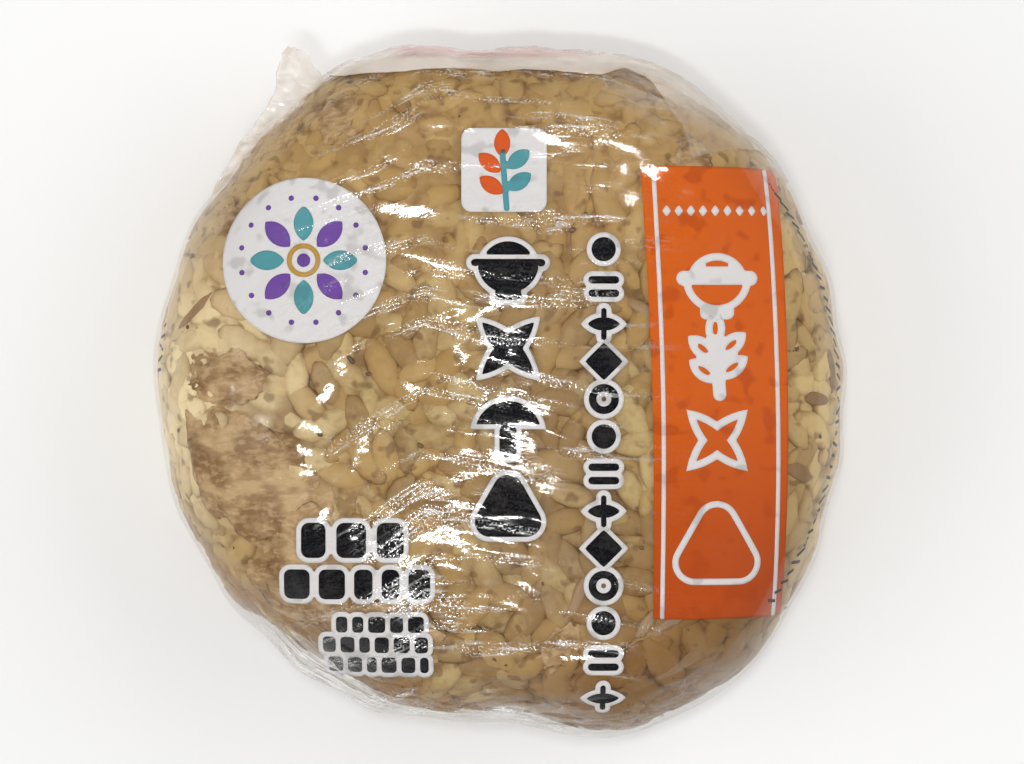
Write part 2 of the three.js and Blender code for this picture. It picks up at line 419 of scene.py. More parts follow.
def skinPlaces(count, draw, stray):  # evenly spread places: area share from below, direction
    for i in range(count):
        share = (i + 0.5 + stray * draw.uniform(-1, 1)) / count
        yield share, i * goldenTurn + stray * draw.uniform(-1, 1) * 2 / math.sqrt(count)


def layDown(point, normal, turn, tilt):  # a frame whose Z is the long axis, laid in the skin
    side = normal.cross(Vector((0, 0, 1)))
    side = side.normalized() if side.length > 1e-3 else Vector((1, 0, 0))
    long = Matrix.Rotation(turn, 3, normal) @ side
    long = Matrix.Rotation(tilt, 3, normal.cross(long)) @ long
    across = normal.cross(long).normalized()
    up = long.cross(across)
    return Matrix((across, up, long)).transposed()


def joinCopies(name, copies):  # one mesh from (points with their depths, faces, tone) lists
    points, depths, faces, tones = [], [], [], []
    for shape, facesOf, tone in copies:
        faces += [[corner + len(points) for corner in face] for face in facesOf]
        points += [point for point, _ in shape]
        depths += [depth for _, depth in shape]
        tones += [tone] * len(shape)
    mesh = bpy.data.meshes.new(name)
    mesh.from_pydata(points, [], faces)
    mesh.attributes.new("tone", "FLOAT", "POINT").data.foreach_set("value", tones)
    mesh.attributes.new("depth", "FLOAT", "POINT").data.foreach_set("value", depths)
    mesh.shade_smooth()
    mesh.update()
    return mesh


def riceGrains():
    draw = random.Random(5)
    shapes = [grainShape(draw) for _ in range(riceValues["kinds"])]
    count = round(skinArea / riceValues["pitch"]**2)
    copies = []
    for areaShare, angle in skinPlaces(count, draw, 0.5):
        share, height = sectionAt(areaShare)
        place = skinPoint(share, height, angle, riceStandOff(share, angle))
        _, normal, _, _ = riceTree.find_nearest(place)
        size = 1 + riceValues["spread"] * draw.uniform(-1, 1)
        scale = Vector((riceValues["width"], riceValues["depth"], riceValues["length"])) * size
        sink = draw.uniform(*riceValues["sink"]) + riceValues["mashSink"] * mashShare(place)
        sink += riceValues["chickenSink"] * chickenShare(place)
        turn = layDown(place, normal, draw.uniform(0, math.pi), riceValues["tilt"] * draw.uniform(-1, 1))
        points, faces = shapes[draw.randrange(len(shapes))]
        limit = draw.uniform(*riceValues["pressed"])
        centre = place - normal * sink
        moved = []
        for point in points:
            spot, depth = pressUnder(centre + turn @ (point * scale), limit, riceValues["pressSoft"])
            under = (0.5 - point.y) * scale.y / mm  # under the grain's own top, so that painted shade darkens the grain down its sides
            moved.append((spot, 0.6 * under + 0.5 * depth))
        copies.append((moved, faces, draw.random()))
    return joinCopies("rice_grains", copies)


riceColours = {
    "pale": (0.56, 0.415, 0.19), "dull": (0.325, 0.2, 0.077),   # grains against the film
    "deep": (0.27, 0.148, 0.052), "gap": (0.13, 0.065, 0.022),  # painted shade on the mash between them, darkest in its deepest places
    "ripe": (0.45, 0.27, 0.085), "brown": (0.24, 0.135, 0.05),  # grains that took up more of the sauce
    # parts of the face; left, right and rim are painted light that makes the rice paler towards its edges
    "left": (1.0, 0.84, 0.52), "right": (0.76, 0.57, 0.27),
    "top": (0.53, 0.33, 0.12), "corner": (0.21, 0.092, 0.018),
    "amber": (0.29, 0.13, 0.02), "stain": (0.14, 0.065, 0.022),
    "pink": (0.30, 0.165, 0.072), "rim": (0.66, 0.49, 0.22), "between": (0.25, 0.16, 0.088),
}

riceLook = {
    # size of the spots in each pattern
    "patches": 8 * mm, "mottle": 1.3 * mm, "pink": 4.2 * mm, "apart": 4.5 * mm, "stain": 1.8 * mm,
    # where a colour begins and where it is full
    "rim": (32 * mm, 39 * mm), "left": (14 * mm, 34 * mm), "leftHeight": (6 * mm, 24 * mm),
    "right": (26 * mm, 38 * mm), "top": (-2 * mm, 24 * mm), "low": (29 * mm, 36 * mm),
    "corner": (26 * mm, 50 * mm), "between": (4 * mm, 9 * mm),
    "leftMiddle": 4 * mm, "betweenMiddle": 6 * mm,
    "gloss": 0.12, "roughness": (0.4, 0.2),
}


def riceMaterial(name, shadeFrom, shadeTo, sauced):
    look, colours = riceLook, riceColours
    paint = Paint(name)
    x, y, z = paint.axes()
    tone = paint.attribute("tone")
    depth = paint.attribute("depth")
    patches = paint.noise(look["patches"], 3.0)
    mottle = paint.noise(look["mottle"], 2.5)
    shade = (tone.ramp(0.0, 1.0) + (patches - 0.5) * 1.5 + (mottle - 0.5) * 2.2).limited()
    base = paint.mix(shade, colours["dull"], colours["pale"])
    base = paint.mix(paint.noise(look["pink"], 2.0).ramp(0.5, 0.68) * 0.4, base, colours["pink"])
    base = paint.mix((tone * 7.3).maths("FRACT").ramp(0.6, 0.75) * 0.6 * sauced, base, colours["ripe"])
    base = paint.mix((tone * 13.7).maths("FRACT").ramp(0.8, 0.9) * 0.5 * sauced, base, colours["brown"])
    between = (1 - (x - look["betweenMiddle"]).size().ramp(*look["between"])) * patches.ramp(0.3, 0.6)
    base = paint.mix(between * 0.45, base, colours["between"])
    # painted light: paler rice towards the rim, whose slopes get less light from above
    rim = (x * x + y * y).root().ramp(*look["rim"])
    base = paint.mix(rim * (0.2 + tone * 0.4), base, colours["rim"])
    # painted light: paler rice towards the left and right edges of the face
    left = (x * -1.0).ramp(*look["left"]) * (1 - (y - look["leftMiddle"]).size().ramp(*look["leftHeight"]))
    base = paint.mix(left * (0.3 + tone * 0.4 + mottle * 0.45), base, colours["left"])
    right = x.ramp(*look["right"])
    base = paint.mix(right * (0.35 + tone * 0.5), base, colours["right"])
    top = y.ramp(*look["top"])
    base = paint.mix(top * (0.55 + (patches - 0.5) * 1.2), base, colours["top"])
    low = (x * -0.55 - y * 0.83).ramp(*look["low"]) * patches.ramp(0.35, 0.55)
    base = paint.mix(low * 0.8, base, colours["amber"])
    soft = depth + (mottle - 0.5) * 1.1  # uneven, so that a grain has no drawn outline
    apart = paint.noise(look["apart"], 1.0).ramp(0.38, 0.62)  # elsewhere the grains have run together
    # painted shade: colour darkens with depth under the rice's skin, between the grains and down each
    # grain's sides
    paintedShade = soft.ramp(shadeFrom, shadeTo) * (0.35 + apart * 0.45) * (1 - left * 0.4)
    base = paint.mix(paintedShade, base, colours["deep"])
    # painted shade, darkest in the deepest gaps
    base = paint.mix(soft.ramp(0.7, 1.15) * apart * (0.8 - left * 0.4), base, colours["gap"])
    corner = (x - y).ramp(*look["corner"]) * (1 - right)
    base = paint.mix(corner * 0.8, base, colours["corner"])
    base = paint.mix(paint.noise(look["stain"], 1.0).ramp(0.6, 0.72) * 0.55, base, colours["stain"])
    smooth, rough = look["roughness"]
    return paint.finish(paint.surface({
        "Base Color": base, "Roughness": smooth + mottle * rough, "Specular IOR Level": look["gloss"],
    }))


grainMaterial = riceMaterial("cooked rice", 0.1, 0.75, 1.0)
mashMaterial = riceMaterial("mashed rice", 0.15, 0.75, 0.0)

print("rice: core")
corePiece = addPiece("rice_core", riceCore(), mashMaterial, "seasoned_rice")
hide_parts(packNode)


# Chicken, burdock and specks of seasoning between the grains

chickenValues = {
    # x, y on the face, length, width, turn in degrees
    "pieces": [(-27, -9, 19, 13, 75), (-21, -20, 17, 12, 130), (-13, -28, 12, 9, 20), (-30, 2, 9, 7, 100),
               (-18, 31, 7, 5, 30), (-30, 19, 6, 4.5, 80), (22, 26, 6, 4.5, 140), (7, -28, 7, 5, 60)],
    "depth": 4.4 * mm, "sink": 0.36,  # its middle lies this share of its depth under the film
    "pressed": 0.03 * mm, "pressSoft": 0.4 * mm, "pressSpots": 2 * mm,
    "fibre": 0.7 * mm,
    "edge": (0.6, 0.98),            # share of its size where it begins to end
    "strandSize": 0.5 * mm, "spotSize": 3.0 * mm, "streakSize": 2.6 * mm,
    "dark": (0.27, 0.15, 0.058), "light": (0.56, 0.385, 0.20),
    "strands": (0.68, 0.49, 0.28), "streaks": (0.2, 0.105, 0.036),
}


def chickenShare(place):  # 1 over the middle of a piece, 0 past its edge
    share = 0.0
    for x, y, length, width, turn in chickenValues["pieces"]:
        c, s = math.cos(math.radians(turn)), math.sin(math.radians(turn))
        dx, dy = place.x / mm - x, place.y / mm - y
        along, across = (dx * c + dy * s) / (length / 2), (dy * c - dx * s) / (width / 2)
        share = max(share, 1 - smoothStep(math.hypot(along, across), *chickenValues["edge"]))
    return share if place.z > packShape["height"] / 2 else 0.0


def onSkin(x, y):  # the rice's surface under a place on the face
    point, normal, _, _ = riceTree.ray_cast(Vector((x, y, 2 * packShape["height"])), Vector((0, 0, -1)))
    return point, normal


def chickenPieces():
    copies = []
    draw = random.Random(21)
    for x, y, length, width, turn in chickenValues["pieces"]:
        place, normal = onSkin(x * mm, y * mm)
        lying = layDown(place, normal, math.radians(turn), 0.0)
        bm = bmesh.new()
        bmesh.ops.create_icosphere(bm, subdivisions=5, radius=0.5)
        seed = Vector((draw.random(), draw.random(), draw.random())) * 40
        scale = Vector((width * mm, chickenValues["depth"], length * mm))
        centre = place - normal * chickenValues["depth"] * chickenValues["sink"]
        points = []
        for vert in bm.verts:
            lumps = 1 + 0.28 * noise.noise(vert.co * 3.1 + seed) + 0.12 * noise.noise(vert.co * 7 + seed)
            strand = noise.noise(Vector((vert.co.x * 16, vert.co.y * 16, vert.co.z * 4)) + seed)
            body = vert.co * lumps
            rough = vert.co.normalized() * strand * chickenValues["fibre"]
            vert.co = centre + lying @ (Vector(body * scale) + rough)
            limit = chickenValues["pressed"] * (2 + 2 * noise.noise(vert.co / chickenValues["pressSpots"]))
            points.append(pressUnder(vert.co, limit, chickenValues["pressSoft"]))
        copies.append((points, cornersOf(bm), draw.random()))
        bm.free()
    return joinCopies("chicken_pieces", copies)


def chickenMaterial():
    look = chickenValues
    paint = Paint("simmered chicken")
    strands = paint.noise(look["strandSize"], 2.0, paint.stretched(0.5, 1.0, 1.0))
    spots = paint.noise(look["spotSize"], 3.5)
    base = paint.mix(spots.ramp(0.36, 0.64), look["dark"], look["light"])
    base = paint.mix(strands.ramp(0.45, 0.65) * 0.4, base, look["strands"])
    streaks = paint.noise(look["streakSize"], 2.5, paint.stretched(0.6, 1.5, 1.0, 0.9))
    base = paint.mix(streaks.ramp(0.48, 0.66) * 0.5, base, look["streaks"])
    # painted shade: the chicken darkens where it lies deeper under the rice's skin
    base = paint.mix(paint.attribute("depth").ramp(0.3, 1.3) * 0.9, base, riceColours["deep"])
    return paint.finish(paint.surface({
        "Base Color": base, "Roughness": 0.42 + strands * 0.2, "Specular IOR Level": 0.15,
        "Normal": paint.bump(strands + spots, 0.3 * mm, 0.8),
    }))


burdockValues = {
    "count": 26, "seed": 8, "length": 5.0 * mm, "width": 1.4 * mm, "depth": 0.8 * mm,
    "sink": 0.25 * mm, "pressed": 0.1 * mm, "segments": 12,
    "dark": (0.20, 0.105, 0.038), "light": (0.38, 0.235, 0.105), "roughness": 0.4,
}
speckValues = {
    "count": 90, "seed": 9, "size": 0.5 * mm, "sink": 0.15 * mm, "pressed": 0.1 * mm, "segments": 6,
    "dark": (0.08, 0.04, 0.018), "light": (0.2, 0.11, 0.05), "roughness": 0.45,
}


def scatteredBits(name, values, scaleOf):
    draw = random.Random(values["seed"])
    segments = values["segments"]
    copies = []
    for _ in range(values["count"]):
        share, height = sectionAt(draw.uniform(0.3, 1.0))
        angle = draw.uniform(-math.pi, math.pi)
        place = skinPoint(share, height, angle, riceStandOff(share, angle))
        _, normal, _, _ = riceTree.find_nearest(place)
        lying = layDown(place, normal, draw.uniform(0, math.pi), draw.uniform(-0.2, 0.2))
        scale = scaleOf(draw)
        bend = draw.uniform(-0.25, 0.25)
        bm = bmesh.new()
        bmesh.ops.create_uvsphere(bm, u_segments=segments, v_segments=segments - 2, radius=0.5)
        for vert in bm.verts:
            local = vert.co * (1 + 0.3 * noise.noise(vert.co * 3 + place / mm))
            bent = bend * scale.z * (local.z**2 - 0.1)
            spot = Vector((local.x * scale.x + bent, local.y * scale.y, local.z * scale.z))
            vert.co = place - normal * values["sink"] + lying @ spot
        points = [pressUnder(vert.co, values["pressed"], 0.2 * mm) for vert in bm.verts]
        copies.append((points, cornersOf(bm), draw.random()))
        bm.free()
    return joinCopies(name, copies)


def burdockScale(draw):
    length = burdockValues["length"] * draw.uniform(0.7, 1.25)
    return Vector((burdockValues["width"] * draw.uniform(0.7, 1.4), burdockValues["depth"], length))


def speckScale(draw):
    size = speckValues["size"] * draw.uniform(0.5, 1.5)
    return Vector((size, size * 0.5, size * draw.uniform(1.0, 1.9)))


def bitMaterial(name, values):
    paint = Paint(name)
    grain = paint.noise(0.6 * mm, 3.0, paint.stretched(1.0, 0.4, 1.0, 0.5))
    share = (grain * 0.7 + paint.attribute("tone") * 0.4).limited()
    return paint.finish(paint.surface({
        "Base Color": paint.mix(share, values["dark"], values["light"]),
        "Roughness": values["roughness"] + grain * 0.15, "Normal": paint.bump(grain, 0.08 * mm, 0.6),
    }))


print("rice: grains")
grainPiece = addPiece("rice_grains", riceGrains(), grainMaterial, "seasoned_rice")
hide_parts(packNode)
print("rice: chicken, burdock and specks")
chickenPiece = addPiece("chicken_pieces", chickenPieces(), chickenMaterial(), "chicken")
for name, values, scaleOf, finish in (("burdock_slivers", burdockValues, burdockScale, "burdock"),
                                      ("dark_specks", speckValues, speckScale, "dark specks")):
    addPiece(name, scatteredBits(name, values, scaleOf), bitMaterial(finish, values), "burdock")


# Clear film drawn over the rice

filmValues = {
    "fineness": 7,
    "crowding": 1.35,             # above 1, more of its faces go to the shown face
    "clearance": 0.32 * mm,       # film over the rice's skin
    "closest": 0.17 * mm,         # film over the grains, with room for the print
    "cling": 0.12,                # how far it sinks into the gaps between grains
    "evenPasses": 14,             # smoothing of those gaps
    "rippleLength": 13 * mm, "rippleWidth": 2.0 * mm, "rippleHeight": 0.1 * mm,  # sideways ripples
    "crumpleSize": 4.4 * mm, "crumpleStretch": 2.4, "crumpleHeight": 0.07 * mm,
    "bend": (6 * mm, 1.2 * mm),   # size and depth of the bends in them
    "strong": 12 * mm,            # size of the areas with stronger ripples
    "fineFrom": 0.86,             # share of the height above which its faces are split once more
    # creases over the middle: x0, y0, x1, y1, half width, height
    "creases": [(-18.5, 3.7, -12.3, 7.7, 0.4, 0.14), (-12.3, 7.7, -3.0, 9.8, 0.4, 0.16),
                (4.7, -14.2, 16.5, -18.6, 0.35, 0.13), (13.0, -6.6, 17.0, -9.2, 0.35, 0.14),
                (3.0, -19.5, 9.0, -22.5, 0.35, 0.12), (-15.4, 2.0, -15.2, -14.0, 0.4, 0.13),
                (-5.0, 0.6, -1.0, 4.0, 0.35, 0.12), (12.0, 20.5, 17.0, 17.0, 0.4, 0.12),
                (-17.5, 5.5, -9.0, 10.0, 0.9, 0.30), (-9.0, 10.0, -2.5, 10.4, 0.8, 0.28),
                (-13.5, 16.0, -3.0, 15.0, 1.3, 0.30), (-13.5, 21.5, -5.0, 21.2, 1.0, 0.24),
                (-13.6, 4.4, 0.0, 6.2, 1.1, 0.34), (2.0, 6.0, 9.5, 5.2, 0.9, 0.3),
                (-14.0, 1.6, -6.5, -2.8, 1.0, 0.28), (-8.0, -3.6, 0.0, -4.4, 1.0, 0.3),
                (5.0, 17.6, 15.0, 16.5, 1.2, 0.26), (5.0, 11.5, 15.0, 10.4, 1.2, 0.26),
                (5.5, -4.0, 16.0, -8.5, 0.7, 0.26), (5.5, -5.8, 16.5, -11.0, 0.7, 0.24),
                (-9.0, -12.2, 9.0, -15.2, 1.2, 0.34), (9.0, -13.0, 16.5, -17.8, 0.8, 0.26),
                (-6.5, -18.5, -1.0, -21.0, 1.2, 0.3), (-3.5, -23.2, 7.5, -26.2, 1.1, 0.3),
                (4.5, -30.8, 10.5, -30.2, 0.7, 0.22), (-16.8, 5.0, -22.8, -4.0, 0.9, 0.3),
                (-22.5, -4.5, -22.0, -11.0, 0.8, 0.24), (-16.2, -3.0, -16.4, -16.0, 0.5, 0.2),
                (-15.5, -24.0, -15.5, -28.0, 0.5, 0.14), (-27.0, 24.0, -20.0, 30.0, 0.8, 0.2),
                (-22.3, -8.3, -16.4, -7.9, 0.5, 0.22), (-18.4, -10.3, -20.6, -14.7, 0.5, 0.2),
                (20.0, 12.0, 30.0, 9.0, 1.4, 0.16), (20.0, -2.0, 29.0, -5.0, 1.4, 0.16)],
}


def segmentDistance(x, y, ax, ay, bx, by):
    dx, dy = bx - ax, by - ay
    along = ((x - ax) * dx + (y - ay) * dy) / (dx * dx + dy * dy)
    inside = min(max(along, 0.0), 1.0)
    return math.hypot(x - ax - inside * dx, y - ay - inside * dy), inside


def creaseHeight(x, y):
    total = 0.0
    warp = 0.7 * noise.noise(Vector((x / 2.6, y / 2.6, 3.0)))
    for ax, ay, bx, by, width, height in filmValues["creases"]:
        away, along = segmentDistance(x, y + warp, ax, ay, bx, by)
        if away < 4 * width:
            ridge = math.exp(-(away / (1.4 * width))**2)
            total += 0.5 * height * ridge * (0.55 + 0.45 * math.sin(math.pi * along))
    return total


def crumpleHeight(point):
    size, stretch = filmValues["crumpleSize"], filmValues["crumpleStretch"]
    bendSize, bendDepth = filmValues["bend"]
    bent = point + noise.noise_vector(point / bendSize) * bendDepth
    cell = Vector((bent.x / (size * stretch), bent.y / size, bent.z / (size * 1.6)))
    near, far = noise.voronoi(cell)[0][:2]
    along, across = filmValues["rippleLength"], filmValues["rippleWidth"]
    ripple = noise.noise(Vector((bent.x / along, bent.y / across + 0.12 * bent.x / mm, bent.z / along)))
    ripple *= smoothStep(noise.noise(point / filmValues["strong"]), -0.25, 0.35)
    return filmValues["crumpleHeight"] * ((far - near)**0.7 - 0.4) + filmValues["rippleHeight"] * ripple


def filmWrap():
    bm = skinBall(filmValues["fineness"], lambda share, angle: 0.0, filmValues["crowding"])
    fine = filmValues["fineFrom"] * packShape["height"]
    edges = [edge for edge in bm.edges if all(vert.co.z > fine for vert in edge.verts)]
    bmesh.ops.subdivide_edges(bm, edges=edges, cuts=1, use_grid_fill=True)
    bm.normal_update()
    loose = bm.verts.layers.float.new("loose")
    trees = [BVHTree.FromObject(piece, bpy.context.evaluated_depsgraph_get())
             for piece in (corePiece, grainPiece, chickenPiece)]
    reach = 2 * mm
    gaps = []
    for vert in bm.verts:
        start = vert.co + vert.normal * reach
        hits = [tree.ray_cast(start, -vert.normal, 3 * reach)[3] for tree in trees]
        gaps.append(min([hit for hit in hits if hit is not None] + [2 * reach]) - reach)
    rings = [[edge.other_vert(vert).index for edge in vert.link_edges] for vert in bm.verts]
    even = gaps
    for _ in range(filmValues["evenPasses"]):
        even = [(gap + sum(even[k] for k in ring)) / (1 + len(ring)) for gap, ring in zip(even, rings)]
    moves = []
    for vert, gap, soft in zip(bm.verts, gaps, even):
        onFace = smoothStep(vert.co.z, 0.72 * packShape["height"], 0.94 * packShape["height"])
        offBase = smoothStep(vert.co.z, 1.0 * mm, 5.0 * mm)
        radius = math.hypot(vert.co.x, vert.co.y)
        angle = math.atan2(vert.co.y, vert.co.x)
        vert[loose] = -riceStandOff(min(radius / outlineRadius(angle), 1.0), angle) / mm
        folds = crumpleHeight(vert.co) * lerp(0.25, 1.0, offBase) * (1 + 0.8 * vert[loose])
        folds += creaseHeight(vert.co.x / mm, vert.co.y / mm) * mm * onFace
        out = filmValues["clearance"] - filmValues["cling"] * min(max(soft, 0.0), 1.0 * mm) + folds
        moves.append(max(out, filmValues["closest"] - gap))
    for _ in range(3):
        moves = [max((move + sum(moves[k] for k in ring)) / (1 + len(ring)), filmValues["closest"] - gap)
                 for move, ring, gap in zip(moves, rings, gaps)]
    for vert, move in zip(bm.verts, moves):
        vert.co += vert.normal * move
        vert.co.z = max(vert.co.z, packShape["lowest"])
    return smoothMesh(bm, "film_wrap")


filmLook = {
    # size of each pattern
    "wrinkles": 0.38 * mm, "patches": 2.2 * mm, "sparkle": 0.24 * mm, "folds": 5 * mm, "ridges": 1.5 * mm,
    # where each effect begins and where it is full
    "crumpled": (9 * mm, 24 * mm), "broken": (18 * mm, 32 * mm), "band": (16 * mm, 21 * mm),
    "rim": (36.5 * mm, 42 * mm), "slack": (33.5 * mm, 36.5 * mm), "outside": (37.5 * mm, 39.5 * mm),
    "corner": (16 * mm, 23 * mm), "thin": (14 * mm, 19 * mm),
    "pinkTop": (37.6 * mm, 38.4 * mm), "pinkHeight": (15 * mm, 17 * mm), "pinkHalf": (9 * mm, 12 * mm),
    "middle": -2 * mm, "pinkMiddle": -1 * mm,
    "relief": 0.07 * mm, "mirror": 0.25,
    "pink": (0.86, 0.47, 0.45), "clear": (0.985, 0.98, 0.97, 1.0),
}

filmLayers = {  # material, haze, tint, glint, and how far it thins over the orange band
    "film_wrap": ("clear film", 0.004, (0.95, 0.94, 0.92), 1.0, 0.0),
    "film_lap": ("loose film", 0.45, (1.0, 0.9, 0.8), 0.7, 0.85),
    "film_ear": ("crumpled film", 0.4, (1.0, 0.95, 0.89), 1.0, 0.0),
}


def filmMaterial(name, haze, tint, glint, fade):
    look = filmLook
    paint = Paint(name)
    x, y, z = paint.axes()
    radius = (x * x + y * y).root()
    aside = (x - look["middle"]).size()
    slant = (x * 0.5 + 4 * mm).smaller(x * -0.12 - 1 * mm)  # of the wrinkles: up at the left, then down
    drift = (x * 150 + y * 110).maths("SINE") * 0.9 * mm
    drawn = paint.joined(x * 0.13, y - slant + drift, z * 0.5)
    wrinkles = paint.noise(look["wrinkles"], 1.0, drawn)
    patchy = paint.noise(look["patches"], 1.5, drawn)
    sparkle = paint.noise(look["sparkle"], 0.0)
    band = patchy.ramp(0.55, 0.64) * (1 - aside.ramp(*look["crumpled"])) * glint
    normal = paint.bump(wrinkles + sparkle * 0.6, look["relief"], band * 0.8 + 0.06)
    grit = (wrinkles + sparkle).ramp(0.86, 1.14)  # crumples break up what the film mirrors
    inner = 1 - aside.ramp(*look["broken"])
    broken = (1 - inner * (1 - grit) * 0.94) * (1 - x.ramp(*look["band"]) * fade)
    mirror = paint.node("ShaderNodeFresnel", {}, {"IOR": 1.5})[0].smaller(look["mirror"]) * broken
    folds = paint.noise(look["folds"], 1.5, paint.stretched(0.5, 1.3, 1.0))
    rim = radius.ramp(*look["rim"]) * (0.25 + folds.ramp(0.4, 0.65) * 0.75)
    around = paint.joined(y.maths("ARCTAN2", x) * 8 * mm, radius, z * 1.3)
    ridge = paint.noise(look["ridges"], 1.0, around)  # folds that run along the rim
    crease = 1 - (ridge - 0.5).size().ramp(0.008, 0.045)
    slack = paint.attribute("loose") * (0.07 + ridge.ramp(0.4, 0.62) * 0.16 + crease * 0.2)
    slack = slack * (0.2 + radius.ramp(*look["slack"]) * 0.8)
    outside = radius.ramp(*look["outside"]) * (1 - x.ramp(*look["corner"]))
    thin = x.ramp(*look["thin"]) * (1 - outside) * fade
    cloud = haze * (1 - thin) * (0.6 + folds.ramp(0.3, 0.62) * 0.6) + slack + rim * 0.09
    if not fade:  # fine white crumples: partly stress-whitened film, partly painted glints standing in for the sparkle of highlights
        cloud = cloud + band * (wrinkles.ramp(0.54, 0.66) + sparkle.ramp(0.56, 0.7)) * 0.35
    cloud = cloud.limited()
    share = (mirror + cloud).limited()
    metal = (mirror / (mirror + cloud)).limited()
    pink = y.ramp(*look["pinkTop"]) * z.ramp(*look["pinkHeight"]) * (haze * 1.2)
    pink = pink * (1 - (x - look["pinkMiddle"]).size().ramp(*look["pinkHalf"]))
    base = paint.mix(pink.limited(), tint, look["pink"])
    rough = 0.05 + patchy.ramp(0.35, 0.7) * 0.07
    gloss = paint.surface({"Base Color": base, "Metallic": metal, "Roughness": rough, "Normal": normal})
    clear = paint.node("ShaderNodeBsdfTransparent", {}, {"Color": look["clear"]})[0]
    return paint.finish(paint.node("ShaderNodeMixShader", {}, {0: share, 1: clear, 2: gloss})[0])


def addFilm(name, mesh):
    return addPiece(name, mesh, filmMaterial(*filmLayers[name]), "clear_film")


print("film: wrap over the grains")
filmPiece = addFilm("film_wrap", filmWrap())
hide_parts(packNode)
filmTree = BVHTree.FromObject(filmPiece, bpy.context.evaluated_depsgraph_get())


# Loose film: the second layer over the top edge and corner, and the pinched ear

lapValues = {
    # free edge of the layer: direction in degrees, distance from the middle
    "edge": [(36, 41.5), (41.8, 40.6), (46.4, 37.4), (50.3, 33.8), (55.5, 35.8), (60.3, 37.5),
             (65.1, 39.0), (68.6, 38.9), (72.1, 37.1), (79.0, 36.3), (89.5, 35.7), (107, 37.2),
             (115.5, 39.2), (118, 40.5)],
    "lift": 0.22 * mm, "least": 0.08 * mm,
    "crumples": [(0.22 * mm, 2.6 * mm), (0.08 * mm, 0.9 * mm)],  # height and size
    "bottom": 7 * mm,
    "steps": (150, 46),
    "thickness": 0.05 * mm,
}


def areaAtRadius(part):  # area share at which the face reaches a share of the radius
    low, high = 0.55, 1.0
    for _ in range(20):
        middle = (low + high) / 2
        low, high = (middle, high) if sectionAt(middle)[0] > part else (low, middle)
    return low


def unitGrid(along, across):  # a sheet to be bent, from -0.5 to 0.5
    bm = bmesh.new()
    bmesh.ops.create_grid(bm, x_segments=along, y_segments=across, size=0.5)
    return bm


def filmLap():
    edge = lapValues["edge"]
    first, last = edge[0][0], edge[-1][0]
    bottom = lapValues["bottom"]
    low = next(area for area, (_, height) in zip(areaUpTo, section) if height > bottom) / skinArea
    bm = unitGrid(*lapValues["steps"])
    for vert in bm.verts:
        turn = math.radians(lerp(first, last, vert.co.x + 0.5))
        reach = alongPoints(edge, math.degrees(turn)) * mm
        high = areaAtRadius(reach / outlineRadius(turn))
        share, height = sectionAt(lerp(low, high, vert.co.y + 0.5))
        place = skinPoint(share, height, turn)
        nearest, normal, _, _ = filmTree.find_nearest(place)
        lift = lapValues["lift"] * (0.5 + smoothStep(vert.co.y, -0.5, 0.4))
        lift *= smoothStep(0.5 - abs(vert.co.x), 0.0, 0.04)
        lift += sum(rise * noise.noise(place / size) for rise, size in lapValues["crumples"])
        vert.co = nearest + normal * max(lift, lapValues["least"])
    bmesh.ops.recalc_face_normals(bm, faces=bm.faces)
    return smoothMesh(bm, "film_lap")


earValues = {
    # from its tip down: share of the length, outer edge, inner edge
    "edges": [(0.0, (-23.9, 39.4), (-22.6, 39.3)), (0.12, (-24.9, 37.6), (-20.6, 37.0)),
              (0.3, (-25.4, 34.2), (-18.6, 34.0)), (0.45, (-27.0, 31.6), (-20.8, 30.5)),
              (0.65, (-29.8, 28.0), (-23.6, 27.0)), (0.82, (-32.0, 24.2), (-27.0, 22.5)),
              (1.0, (-34.6, 18.4), (-31.5, 16.8))],
    "height": 23 * mm, "lift": 3.2 * mm,
    "steps": (90, 26),
    "crumple": 0.9 * mm,
    "thickness": 0.06 * mm,
}


def earEdge(side, down):  # side 1 is the outer edge, 2 the inner one
    lines = [[(row[0], row[side][k]) for row in earValues["edges"]] for k in (0, 1)]
    return Vector([alongPoints(line, down) for line in lines])


def filmEar():
    bm = unitGrid(*earValues["steps"])
    for vert in bm.verts:
        down, across = vert.co.x + 0.5, vert.co.y + 0.5
        spot = earEdge(1, down).lerp(earEdge(2, down), across) * mm
        out = 1 - across
        rough = noise.noise(Vector((down * 9, across * 2.2, 1.0)))
        rough += 0.5 * noise.noise(Vector((down * 22, across * 5, 4.0)))
        lift = earValues["lift"] * (1 - down) * out + earValues["crumple"] * rough * (0.3 + out)
        side = 0.35 * mm * noise.noise(Vector((down * 14, across * 3, 9.0)))
        vert.co = Vector((spot.x + side, spot.y + side * 0.6, earValues["height"] + lift))
    bmesh.ops.recalc_face_normals(bm, faces=bm.faces)
    return smoothMesh(bm, "film_ear")


print("film: lap and ear")
addThickness(addFilm("film_lap", filmLap()), lapValues["thickness"])
addThickness(addFilm("film_ear", filmEar()), earValues["thickness"])


# Print under the film. Each shape gives the distance to its edge, in millimetres, less than 0 inside.

def disc(x, y, radius):
    return math.hypot(x, y) - radius


def bar(x, y, ax, ay, bx, by, radius):
    return segmentDistance(x, y, ax, ay, bx, by)[0] - radius


def block(x, y, width, height, corner):
    dx, dy = abs(x) - width / 2 + corner, abs(y) - height / 2 + corner
    return math.hypot(max(dx, 0.0), max(dy, 0.0)) + min(max(dx, dy), 0.0) - corner


def lens(x, y, length, width):  # a leaf or petal along Y
    radius = (length**2 + width**2) / (4 * width)
    return max(math.hypot(x - radius + width / 2, y), math.hypot(x + radius - width / 2, y)) - radius


def turned(x, y, degrees):
    c, s = math.cos(math.radians(degrees)), math.sin(math.radians(degrees))
    return x * c + y * s, -x * s + y * c


